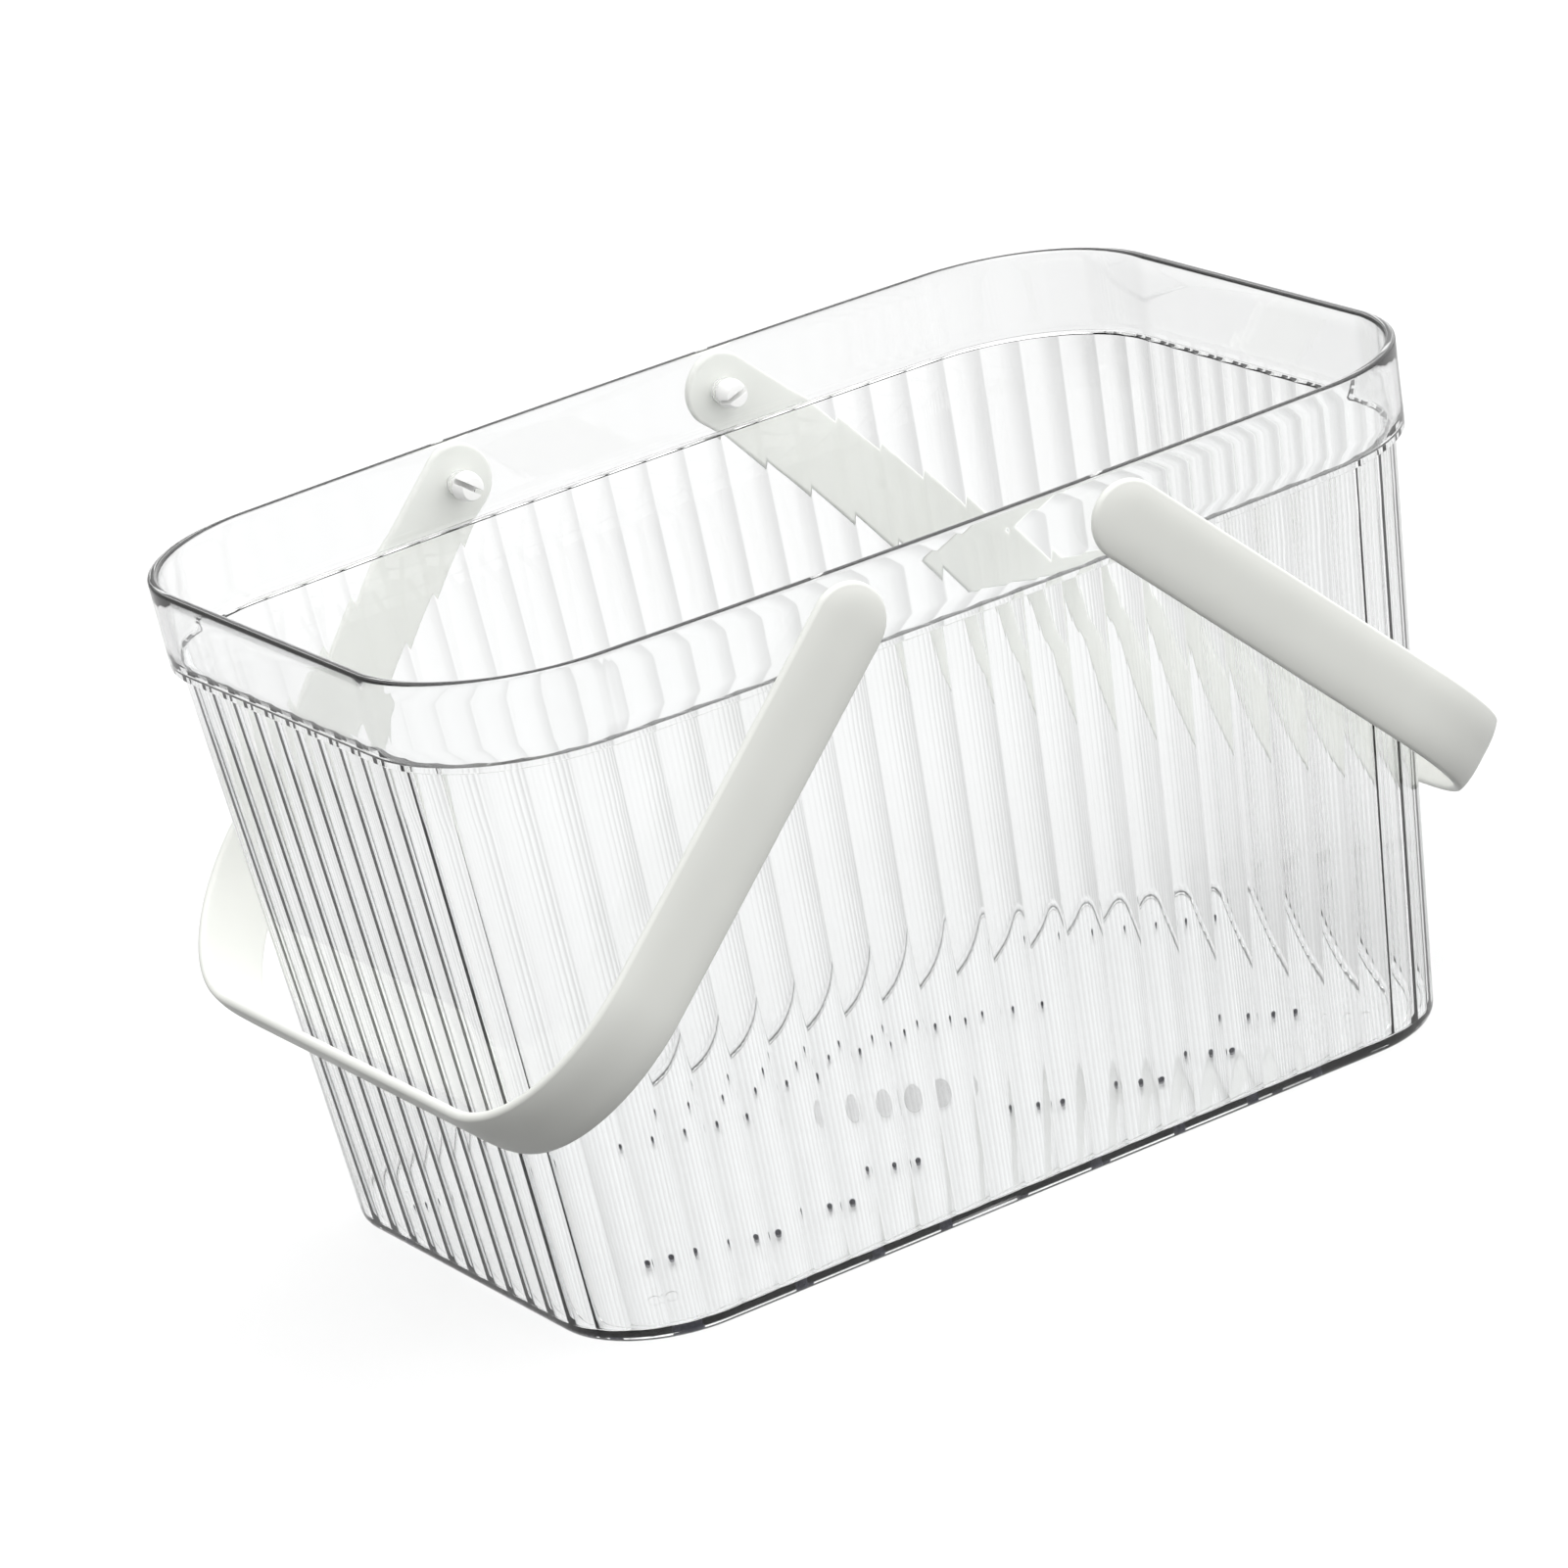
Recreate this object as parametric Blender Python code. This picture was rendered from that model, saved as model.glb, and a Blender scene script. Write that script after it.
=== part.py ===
"""Portable shower caddy: a clear fluted basket with two swinging strap handles.

The basket is one moulding: a tapered wall, smooth outside and fluted inside, under
a plain rim band that stands out from the wall, and a floor with drain holes. Two
U-shaped strap handles lie outside the long sides. Each arm turns on a split snap
pin that goes through a hole in the rim band.

Units are metres. X runs along the basket, Y across it, Z up. The origin is the
centre of the basket's foot, on the surface that it stands on.
"""

import math
from dataclasses import dataclass

import bpy
import bmesh
import numpy as np

# ---- basket, overall ----
RIM_LENGTH = 0.280          # outside, at the top of the rim
RIM_WIDTH = 0.1866          # outside, at the middle of the long sides
BASKET_HEIGHT = 0.1715
RIM_CORNER_RADIUS = 0.0433
SIDE_CROWN = 0.0020         # how far each long side bows out at the rim
BASE_LENGTH = 0.244         # outside, where the wall meets the foot
BASE_WIDTH = 0.1534
BASE_CORNER_RADIUS = 0.029

# ---- basket, wall and rim band ----
BAND_HEIGHT = 0.0222        # the plain band below the top of the rim
BAND_DRAFT = 0.0011         # how far the band leans in, top to bottom
BAND_STEP = 0.0024          # how far the band stands out from the wall
BAND_WALL = 0.0026
RIM_ROUNDING = 0.0009
LEDGE_RISE = 0.0012         # the inner ledge above the band's lower edge
WALL = 0.0025               # at the ridges between the flutes
FLUTE_COUNT = 76
FLUTE_DEPTH = 0.00062
FLUTE_FACETS = 3            # flat facets across one flute

# ---- basket, foot and floor ----
FOOT_FILLET = 0.0028
FOOT_WIDTH = 0.0060         # the ring that the basket stands on
FOOT_RECESS = 0.0008
FLOOR = 0.0025
FLOOR_FILLET = 0.0013
DRAIN_RADIUS = 0.0016
DRAIN_PITCH = 0.0216        # between neighbours, along the basket
FRONT_ARC_RADIUS = 0.060    # the front holes lie on two arcs of this radius
FRONT_ARC_INSET = 0.0288    # from the floor's front edge to the arcs' crests
REAR_ARC_RADIUS = 0.085
REAR_ARC_INSET = 0.0335
LONE_DRAIN_INSET = 0.0198   # the two lone rear holes, from the ends of the floor
LONE_DRAIN_SETBACK = 0.0304  # and from its rear edge

# ---- handles ----
PIVOT_SPACING = 0.0766      # between the two handles' axes
PIVOT_DEPTH = 0.0122        # from the top of the rim down to the axes
STRAP_WIDTH = 0.0196
STRAP_THICKNESS = 0.0034
STRAP_CROWN = 0.0005        # the outer face is slightly domed
ARM_GAP = 0.0004            # between an arm and the widest part of the rim
GRIP_CLEARANCE = 0.0362     # from the rim's end to a grip held level with it
ELBOW_ALONG = 0.0448        # the elbow's outer reach, along the arm
ELBOW_ACROSS = 0.0388       # and along the grip
REST_GAP = 0.0014           # between a lowered grip and the end wall

# ---- snap pins ----
PIN_RADIUS = 0.0032
PIN_OVERHANG = 0.0006       # how far the head stands out past the shank
PIN_BARB = 0.0010           # length of the head's full diameter
PIN_NOSE = 0.0034           # length of its taper
PIN_NOSE_INSET = 0.0002     # how far the tip is drawn in from the shank
PIN_SLOT_WIDTH = 0.0013
PIN_SLOT_BOTTOM = 0.0004    # from the back of the head to the end of the slot
SOCKET_FLOOR = 0.0014       # the arm's material left outside each blind socket
FIT_GAP = 0.0003            # between any two pieces that touch
PIN_TURN = {                # how far each slot is turned from square across its arm
    ("left", "front"): math.radians(10),
    ("left", "rear"): math.radians(-6),
    ("right", "front"): math.radians(-17),
    ("right", "rear"): math.radians(26),
}

# ---- drawing ----
ROUND_SIDES = 20            # of pins and their holes
DRAIN_SIDES = 12
ELBOW_STEPS = 9
ARM_END_STEPS = 5
CUT_MARGIN = 0.004          # how far a cutter runs past the faces it cuts

# ---- sizes that follow ----
BAND_FOOT_Z = BASKET_HEIGHT - BAND_HEIGHT
LEDGE_Z = BAND_FOOT_Z + LEDGE_RISE
FLOOR_Z = FOOT_RECESS + FLOOR
PIVOT_X = PIVOT_SPACING / 2
PIVOT_Z = BASKET_HEIGHT - PIVOT_DEPTH
ARM_INNER_Y = RIM_WIDTH / 2 + ARM_GAP
ARM_OUTER_Y = ARM_INNER_Y + STRAP_THICKNESS
GRIP_REACH = RIM_LENGTH / 2 - PIVOT_X + GRIP_CLEARANCE + STRAP_THICKNESS
HALF_STRAP = STRAP_WIDTH / 2
SOCKET_END_Y = ARM_OUTER_Y - SOCKET_FLOOR
HOLE_RADIUS = PIN_RADIUS + FIT_GAP
PIN_HEAD_RADIUS = PIN_RADIUS + PIN_OVERHANG
PIN_NOSE_RADIUS = PIN_RADIUS - PIN_NOSE_INSET


@dataclass(frozen=True)
class Outline:
    """A rounded rectangle whose long sides bow out by the crown."""

    half_length: float
    half_width: float
    radius: float
    crown: float

    def inset(self, by):
        return Outline(self.half_length - by, self.half_width - by, self.radius - by, self.crown)

    def blend(self, other, share):
        mix = [a + (b - a) * share for a, b in zip(self.sizes(), other.sizes())]
        return Outline(*mix)

    def sizes(self):
        return self.half_length, self.half_width, self.radius, self.crown

    def points(self, count):
        """Points evenly spaced from the middle of the front side, and their outward normals."""
        straight = self.half_length - self.radius
        side = self.half_width - self.crown
        arc = self.radius * math.pi / 2
        quarter = straight + arc + side - self.radius
        turn = np.arange(count) * 4 / count
        quadrant = turn.astype(int)
        along = (turn - quadrant) * quarter
        along = np.where(quadrant % 2 == 0, along, quarter - along)
        angle = np.clip((along - straight) / self.radius, 0, math.pi / 2)
        x = np.minimum(along, straight) + self.radius * np.sin(angle)
        y = side - self.radius * (1 - np.cos(angle)) - np.maximum(along - straight - arc, 0)
        bow = np.clip(x / straight, 0, 1)
        y = y + self.crown * (1 - bow**2)
        slope = np.where(bow < 1, 2 * self.crown * bow / straight, 0)
        normal = np.stack([np.sin(angle) + slope, np.cos(angle)], axis=1)
        normal /= np.linalg.norm(normal, axis=1)[:, None]
        signs = np.array([(1, -1), (1, 1), (-1, 1), (-1, -1)])[quadrant]
        return np.stack([x, y], axis=1) * signs, normal * signs


RIM = Outline(RIM_LENGTH / 2, RIM_WIDTH / 2, RIM_CORNER_RADIUS, SIDE_CROWN)
BAND_FOOT = RIM.inset(BAND_DRAFT)
SHOULDER = BAND_FOOT.inset(BAND_STEP)
BASE = Outline(BASE_LENGTH / 2, BASE_WIDTH / 2, BASE_CORNER_RADIUS, 0.0)


def wall_at(z):
    return BASE.blend(SHOULDER, z / BAND_FOOT_Z)


def band_at(z):
    return BAND_FOOT.blend(RIM, (z - BAND_FOOT_Z) / BAND_HEIGHT)


def band_half_width(x, z):
    """The rim band's outer half width at a place along it."""
    band = band_at(z)
    return band.half_width - band.crown * (x / (band.half_length - band.radius)) ** 2


def make_object(name, bm, material):
    bmesh.ops.recalc_face_normals(bm, faces=bm.faces)
    mesh = bpy.data.meshes.new(name)
    bm.to_mesh(mesh)
    bm.free()
    mesh.materials.append(material)
    mesh.shade_smooth()
    mesh.set_sharp_from_angle(angle=math.radians(35))
    obj = bpy.data.objects.new(name, mesh)
    bpy.context.scene.collection.objects.link(obj)
    return obj


def make_material(name, colour, roughness, transmission=0.0):
    material = bpy.data.materials.new(name)
    material.use_nodes = True
    shader = material.node_tree.nodes["Principled BSDF"]
    shader.inputs["Base Color"].default_value = (*colour, 1)
    shader.inputs["Roughness"].default_value = roughness
    shader.inputs["Metallic"].default_value = 0
    shader.inputs["IOR"].default_value = 1.57
    shader.inputs["Transmission Weight"].default_value = transmission
    return material


def loft(bm, rings, close_ends=True):
    """Skins closed rings of the same length with quads, and caps the first and last."""
    rows = [[bm.verts.new(point) for point in ring] for ring in rings]
    for low, high in zip(rows, rows[1:]):
        for i in range(len(low)):
            j = (i + 1) % len(low)
            bm.faces.new((low[i], low[j], high[j], high[i]))
    if close_ends:
        bm.faces.new(rows[0][::-1])
        bm.faces.new(rows[-1])


def cylinder_rings(radius, start, end, sides, centre):
    """Two rings along Y, from start to end, round a centre given as (x, z)."""
    angles = np.arange(sides) * 2 * math.pi / sides
    x = centre[0] + radius * np.cos(angles)
    z = centre[1] + radius * np.sin(angles)
    return [[(a, y, b) for a, b in zip(x, z)] for y in (start, end)]


def cut(obj, cutter):
    """Takes the cutter out of the object, and leaves the cutter as a hidden guide."""
    cutter.hide_render = True
    cutter.display_type = "WIRE"
    boolean = obj.modifiers.new(cutter.name, "BOOLEAN")
    boolean.operation = "DIFFERENCE"
    boolean.solver = "EXACT"
    boolean.object = cutter


def arc_of_drains(centre_x, crest_y, radius, steps):
    """Drain holes on an arc: each falls back from the crest by radius - sqrt(radius^2 - away^2)."""
    places = []
    for step in steps:
        away = step * DRAIN_PITCH
        fall = radius - math.sqrt(radius**2 - away**2)
        places.append((centre_x + away, crest_y - math.copysign(fall, crest_y)))
    return places


def drain_places():
    """Where the drain holes are: two arcs of four in front, one of five and two lone ones behind."""
    floor_end = BASE_LENGTH / 2 - WALL
    floor_side = BASE_WIDTH / 2 - WALL
    four = (-1.5, -0.5, 0.5, 1.5)
    places = arc_of_drains(0, floor_side - REAR_ARC_INSET, REAR_ARC_RADIUS, (-2, -1, 0, 1, 2))
    for side in (-1, 1):
        centre = side * 2.5 * DRAIN_PITCH
        places += arc_of_drains(centre, FRONT_ARC_INSET - floor_side, FRONT_ARC_RADIUS, four)
        places.append((side * (floor_end - LONE_DRAIN_INSET), floor_side - LONE_DRAIN_SETBACK))
    return places


def make_basket(material):
    count = FLUTE_COUNT * FLUTE_FACETS
    phase = np.arange(count) % FLUTE_FACETS / FLUTE_FACETS
    scoop = FLUTE_DEPTH * (1 - (2 * phase - 1) ** 2)  # 0 on the ridges

    def ring(outline, z, inset=0.0):
        points, normals = outline.points(count)
        flat = points - normals * np.broadcast_to(inset, count)[:, None]
        return [(x, y, z) for x, y in flat]

    slant = 1 - math.sqrt(0.5)  # of a quarter round's midpoint, from its faces
    floor_edge = FLOOR_Z + FLOOR_FILLET
    bm = bmesh.new()
    loft(bm, [
        ring(BASE, FOOT_RECESS, FOOT_WIDTH),
        ring(BASE, 0, FOOT_WIDTH),
        ring(BASE, 0, FOOT_FILLET),
        ring(BASE, FOOT_FILLET * slant, FOOT_FILLET * slant),
        ring(wall_at(FOOT_FILLET), FOOT_FILLET),
        ring(SHOULDER, BAND_FOOT_Z),
        ring(BAND_FOOT, BAND_FOOT_Z),
        ring(band_at(BASKET_HEIGHT - RIM_ROUNDING), BASKET_HEIGHT - RIM_ROUNDING),
        ring(RIM, BASKET_HEIGHT, RIM_ROUNDING),
        ring(RIM, BASKET_HEIGHT, BAND_WALL - RIM_ROUNDING),
        ring(band_at(BASKET_HEIGHT - RIM_ROUNDING), BASKET_HEIGHT - RIM_ROUNDING, BAND_WALL),
        ring(band_at(LEDGE_Z), LEDGE_Z, BAND_WALL),
        ring(SHOULDER, LEDGE_Z, WALL - scoop),
        ring(wall_at(floor_edge), floor_edge, WALL - scoop),
        ring(wall_at(FLOOR_Z), FLOOR_Z, WALL + FLOOR_FILLET),
    ])
    basket = make_object("basket", bm, material)

    bm = bmesh.new()
    for x, y in drain_places():
        lying = cylinder_rings(DRAIN_RADIUS, -CUT_MARGIN, FLOOR_Z + CUT_MARGIN, DRAIN_SIDES, (x, y))
        loft(bm, [[(a, b, z) for a, z, b in ends] for ends in lying])
    cut(basket, make_object("drain_cutter", bm, material))

    bm = bmesh.new()
    for x in (-PIVOT_X, PIVOT_X):
        for side in (-1, 1):
            outer = ARM_INNER_Y + CUT_MARGIN
            inner = band_half_width(x, PIVOT_Z) - BAND_WALL - CUT_MARGIN
            loft(bm, cylinder_rings(HOLE_RADIUS, side * inner, side * outer, ROUND_SIDES, (x, PIVOT_Z)))
    cut(basket, make_object("pin_hole_cutter", bm, material))
    return basket


def strap_section():
    """The strap's section: (across from -1 to 1, depth below the outer face)."""
    edge = STRAP_THICKNESS * 0.38
    outer = [(-1, edge), (-0.9, STRAP_CROWN), (-0.5, STRAP_CROWN * 0.25), (0, 0),
             (0.5, STRAP_CROWN * 0.25), (0.9, STRAP_CROWN), (1, edge)]
    inner = [(1, STRAP_THICKNESS * 0.8), (0.93, STRAP_THICKNESS),
             (-0.93, STRAP_THICKNESS), (-1, STRAP_THICKNESS * 0.8)]
    return outer + inner


def strap_path():
    """Half the strap's outer line, front arm end to mid grip: (reach, y, reach normal, y normal, width)."""
    stations = []
    for angle in np.linspace(math.radians(80), 0, ARM_END_STEPS):
        stations.append((-HALF_STRAP * math.sin(angle), -ARM_OUTER_Y, 0, -1, math.cos(angle)))
    for angle in np.linspace(0, math.pi / 2, ELBOW_STEPS):
        reach = GRIP_REACH - ELBOW_ALONG * (1 - math.sin(angle))
        y = -ARM_OUTER_Y + ELBOW_ACROSS * (1 - math.cos(angle))
        normal = np.array([math.sin(angle) / ELBOW_ALONG, -math.cos(angle) / ELBOW_ACROSS])
        normal /= np.linalg.norm(normal)
        stations.append((reach, y, normal[0], normal[1], 1.0))
    return stations


def make_handle(name, side, drop, material):
    """A strap handle whose arms fall by the angle drop, outwards to the given side."""
    half = strap_path()
    other_half = [(reach, -y, nr, -ny, width) for reach, y, nr, ny, width in half[::-1]]
    bm = bmesh.new()
    loft(bm, [
        [(reach - depth * nr, y - depth * ny, across * width * HALF_STRAP)
         for across, depth in strap_section()]
        for reach, y, nr, ny, width in half + other_half
    ])
    handle = make_object(name, bm, material)

    bm = bmesh.new()
    for end in (-1, 1):
        start = end * (ARM_INNER_Y - CUT_MARGIN)
        loft(bm, cylinder_rings(HOLE_RADIUS, start, end * SOCKET_END_Y, ROUND_SIDES, (0, 0)))
    sockets = make_object(name + "_sockets", bm, material)
    sockets.parent = handle
    cut(handle, sockets)

    handle.location = (side * PIVOT_X, 0, PIVOT_Z)
    handle.rotation_euler.y = drop if side > 0 else math.pi - drop
    return handle


def make_pin(name, side, end, turn, handle, material):
    """A split snap pin in the arm at the given end (-1 front, 1 rear), its slot turned from square."""
    corners = [(PIVOT_X + a * PIN_HEAD_RADIUS, PIVOT_Z - PIN_HEAD_RADIUS) for a in (-1, 1)]
    seat = min(band_half_width(x, z) for x, z in corners) - BAND_WALL - FIT_GAP
    tip = seat - PIN_BARB - PIN_NOSE
    profile = [
        (SOCKET_END_Y - FIT_GAP, PIN_RADIUS),
        (seat, PIN_RADIUS),
        (seat, PIN_HEAD_RADIUS),
        (seat - PIN_BARB, PIN_HEAD_RADIUS),
        (tip, PIN_NOSE_RADIUS),
    ]
    bm = bmesh.new()
    loft(bm, [cylinder_rings(r, end * y, end * y, ROUND_SIDES, (0, 0))[0] for y, r in profile])
    pin = make_object(name, bm, material)

    low, high = sorted((end * (tip - CUT_MARGIN), end * (seat + PIN_SLOT_BOTTOM)))
    across = PIN_SLOT_WIDTH / 2
    length = PIN_HEAD_RADIUS + CUT_MARGIN
    bm = bmesh.new()
    loft(bm, [[(-across, y, -length), (across, y, -length), (across, y, length), (-across, y, length)]
              for y in (low, high)])
    slot = make_object(name + "_slot", bm, material)
    slot.parent = pin
    slot.rotation_euler.y = turn
    cut(pin, slot)

    pin.parent = handle
    return pin


def rest_drop():
    """The angle below level at which a grip's lower inner edge stops REST_GAP from the end wall."""
    lean = math.atan2(SHOULDER.half_length - BASE.half_length, BAND_FOOT_Z)
    inner_reach = GRIP_REACH - STRAP_THICKNESS
    corner_reach = math.hypot(inner_reach, HALF_STRAP)
    corner_angle = math.atan2(HALF_STRAP, inner_reach)
    wall_line = BASE.half_length * math.cos(lean) + REST_GAP
    away = wall_line - PIVOT_X * math.cos(lean) + PIVOT_Z * math.sin(lean)
    return lean + math.acos(away / corner_reach) - corner_angle


def main():
    for obj in list(bpy.data.objects):
        bpy.data.objects.remove(obj, do_unlink=True)
    clear = make_material("clear_plastic", (0.97, 0.98, 0.98), 0.03, transmission=1.0)
    strap_plastic = make_material("strap_plastic", (0.70, 0.70, 0.67), 0.42)
    pin_plastic = make_material("pin_plastic", (0.80, 0.80, 0.78), 0.30)

    make_basket(clear)
    drop = rest_drop()
    for side, side_name in ((-1, "left"), (1, "right")):
        handle = make_handle("handle_" + side_name, side, drop, strap_plastic)
        for end, end_name in ((-1, "front"), (1, "rear")):
            name = f"snap_pin_{side_name}_{end_name}"
            make_pin(name, side, end, PIN_TURN[side_name, end_name], handle, pin_plastic)


main()
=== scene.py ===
"""Looks of a portable shower caddy: a clear fluted basket with two strap handles.

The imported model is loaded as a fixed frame. Each of its pieces is replaced by a fine
surface in the same place: the basket with its flutes, fillets and mould marks, the two
handles with their crowned straps, and the four split snap pins. Units are metres. X runs
along the basket, Y across it and Z up.
"""

from __future__ import annotations

import logging
import math
from dataclasses import dataclass, field
from enum import Enum
from typing import Any

import bpy
import bmesh
import numpy as np
from mathutils import Matrix, Vector

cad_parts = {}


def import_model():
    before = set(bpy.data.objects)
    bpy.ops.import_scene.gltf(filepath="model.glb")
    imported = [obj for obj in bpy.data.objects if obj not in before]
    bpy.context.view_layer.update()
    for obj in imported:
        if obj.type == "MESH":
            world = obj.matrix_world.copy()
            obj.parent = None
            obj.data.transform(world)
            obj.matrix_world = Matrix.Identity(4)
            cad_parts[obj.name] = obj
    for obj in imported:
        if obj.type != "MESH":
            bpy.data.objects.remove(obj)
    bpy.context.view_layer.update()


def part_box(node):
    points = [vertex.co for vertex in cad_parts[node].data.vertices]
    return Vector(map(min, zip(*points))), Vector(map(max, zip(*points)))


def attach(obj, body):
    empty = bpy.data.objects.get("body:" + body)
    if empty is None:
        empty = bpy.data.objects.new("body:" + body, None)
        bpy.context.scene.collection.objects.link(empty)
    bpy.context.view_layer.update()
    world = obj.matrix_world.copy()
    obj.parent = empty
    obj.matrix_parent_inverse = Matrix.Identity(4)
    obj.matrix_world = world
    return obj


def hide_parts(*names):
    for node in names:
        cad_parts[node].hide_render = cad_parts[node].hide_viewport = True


LOG = logging.getLogger("shower_caddy")
Array = np.ndarray
OVERCUT = 0.002  # the least distance that a cutter runs past a face that it opens
SLIVER = 1e-5  # wider than rounding, thinner than any step in a shape


class Side(Enum):
    """Which end of the basket a handle belongs to."""

    LEFT = -1
    RIGHT = 1


class Row(Enum):
    """Which long side of the basket a pin goes through."""

    FRONT = -1
    REAR = 1


# ---------------------------------------------------------------- meshes


def grid_mesh(name: str, rows: Array, caps: bool) -> bpy.types.Mesh:
    """Makes a mesh of closed rings, joined by quads from each ring to the next.

    Args:
        name: The mesh's name.
        rows: Points, as rings by points by 3. Each ring is closed.
        caps: Whether the first and the last ring are filled with a flat face.

    Returns:
        The mesh, with no doubles and its faces pointing out.
    """
    rings, count = rows.shape[:2]
    index = np.arange(rings * count).reshape(rings, count)
    here, beside = index, np.roll(index, -1, axis=1)
    quads = np.stack([here[:-1], beside[:-1], beside[1:], here[1:]], axis=-1).reshape(-1, 4)
    faces = quads.tolist()
    if caps:
        faces += [index[0, ::-1].tolist(), index[-1].tolist()]
    mesh = bpy.data.meshes.new(name)
    mesh.from_pydata(rows.reshape(-1, 3), [], faces)
    work = bmesh.new()
    work.from_mesh(mesh)
    bmesh.ops.remove_doubles(work, verts=work.verts, dist=1e-7)
    bmesh.ops.dissolve_degenerate(work, edges=work.edges, dist=1e-7)
    bmesh.ops.recalc_face_normals(work, faces=work.faces)
    work.to_mesh(mesh)
    work.free()
    return mesh


def new_object(name: str, mesh: bpy.types.Mesh) -> bpy.types.Object:
    """Links a new object that holds the mesh, at the origin."""
    piece = bpy.data.objects.new(name, mesh)
    bpy.context.scene.collection.objects.link(piece)
    return piece


def turned(profile: Array, sides: int, start: Vector, axis: Vector) -> Array:
    """Turns a profile round an axis.

    A point at height h and radius r goes to start + h * axis + r * (cos a * u + sin a * v),
    where u and v are square to the axis and to each other, and a runs round the circle.

    Args:
        profile: Points as rows of height and radius.
        sides: Points round the circle.
        start: Where height 0 lies.
        axis: The axis, as a unit vector.

    Returns:
        Rings of points.
    """
    u = axis.orthogonal().normalized()
    v = axis.cross(u)
    angle = np.arange(sides) * 2 * math.pi / sides
    round_axis = np.outer(np.cos(angle), np.array(u)) + np.outer(np.sin(angle), np.array(v))
    centres = np.array(start) + np.outer(profile[:, 0], np.array(axis))
    return centres[:, None, :] + profile[:, 1, None, None] * round_axis[None, :, :]


def cut_away(piece: bpy.types.Object, cutters: list[Array]) -> None:
    """Takes closed shapes out of a piece for good.

    Args:
        piece: The piece to cut.
        cutters: Each cutter's rings of points, apart from every other cutter.
    """
    shapes = bmesh.new()
    for rings in cutters:
        mesh = grid_mesh("cutter", rings, caps=True)
        shapes.from_mesh(mesh)
        bpy.data.meshes.remove(mesh)
    mesh = bpy.data.meshes.new("cutters")
    shapes.to_mesh(mesh)
    shapes.free()
    cutter = new_object("cutters", mesh)
    boolean = piece.modifiers.new("cut", "BOOLEAN")
    boolean.operation = "DIFFERENCE"
    boolean.solver = "EXACT"
    boolean.object = cutter
    graph = bpy.context.evaluated_depsgraph_get()
    finished = bpy.data.meshes.new_from_object(piece.evaluated_get(graph))
    piece.modifiers.clear()
    old = piece.data
    finished.name = old.name
    piece.data = finished
    bpy.data.objects.remove(cutter, do_unlink=True)
    bpy.data.meshes.remove(mesh)
    bpy.data.meshes.remove(old)


def shade(piece: bpy.types.Object, crease: float, material: bpy.types.Material) -> None:
    """Shades a piece smooth except across creases, and dresses it.

    Args:
        piece: The piece.
        crease: The angle in degrees past which an edge stays sharp.
        material: The piece's only material.
    """
    piece.data.shade_smooth()
    piece.data.set_sharp_from_angle(angle=math.radians(crease))
    piece.data.materials.clear()
    piece.data.materials.append(material)


# ---------------------------------------------------------------- finishes


def moulded_skin_group() -> bpy.types.NodeTree:
    """Builds the node group that every moulded plastic here shares.

    It gives a roughness that drifts between two values over a few centimetres, a tone mask
    from 0 to 1 with the same drift, and a height that adds a broad sink-mark waviness to a
    fine grain.

    Returns:
        The shader node group.
    """
    tree = bpy.data.node_groups.new("moulded_skin", "ShaderNodeTree")
    face = tree.interface
    for label, value in (
        ("Drift Size", 0.03),
        ("Grain Size", 0.0006),
        ("Grain Share", 0.3),
        ("Roughness Low", 0.3),
        ("Roughness High", 0.4),
    ):
        socket = face.new_socket(label, in_out="INPUT", socket_type="NodeSocketFloat")
        socket.default_value = value
    for label in ("Roughness", "Tone", "Height"):
        face.new_socket(label, in_out="OUTPUT", socket_type="NodeSocketFloat")
    nodes, links = tree.nodes, tree.links
    given = nodes.new("NodeGroupInput")
    result = nodes.new("NodeGroupOutput")
    place = nodes.new("ShaderNodeTexCoord")

    def noise(size: str, detail: float) -> bpy.types.Node:
        """Adds a noise whose cells are as large as the named input."""
        scale = nodes.new("ShaderNodeMath")
        scale.operation = "DIVIDE"
        scale.inputs[0].default_value = 1.0
        links.new(given.outputs[size], scale.inputs[1])
        texture = nodes.new("ShaderNodeTexNoise")
        texture.inputs["Detail"].default_value = detail
        links.new(place.outputs["Object"], texture.inputs["Vector"])
        links.new(scale.outputs[0], texture.inputs["Scale"])
        return texture

    drift = noise("Drift Size", 2.0)
    grain = noise("Grain Size", 1.0)
    spread = nodes.new("ShaderNodeMapRange")
    spread.inputs["From Min"].default_value = 0.3
    spread.inputs["From Max"].default_value = 0.7
    links.new(drift.outputs["Fac"], spread.inputs["Value"])
    rough = nodes.new("ShaderNodeMapRange")
    links.new(spread.outputs["Result"], rough.inputs["Value"])
    links.new(given.outputs["Roughness Low"], rough.inputs["To Min"])
    links.new(given.outputs["Roughness High"], rough.inputs["To Max"])
    height = nodes.new("ShaderNodeMix")
    links.new(given.outputs["Grain Share"], height.inputs["Factor"])
    links.new(drift.outputs["Fac"], height.inputs["A"])
    links.new(grain.outputs["Fac"], height.inputs["B"])
    links.new(rough.outputs["Result"], result.inputs["Roughness"])
    links.new(spread.outputs["Result"], result.inputs["Tone"])
    links.new(height.outputs["Result"], result.inputs["Height"])
    return tree


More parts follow.
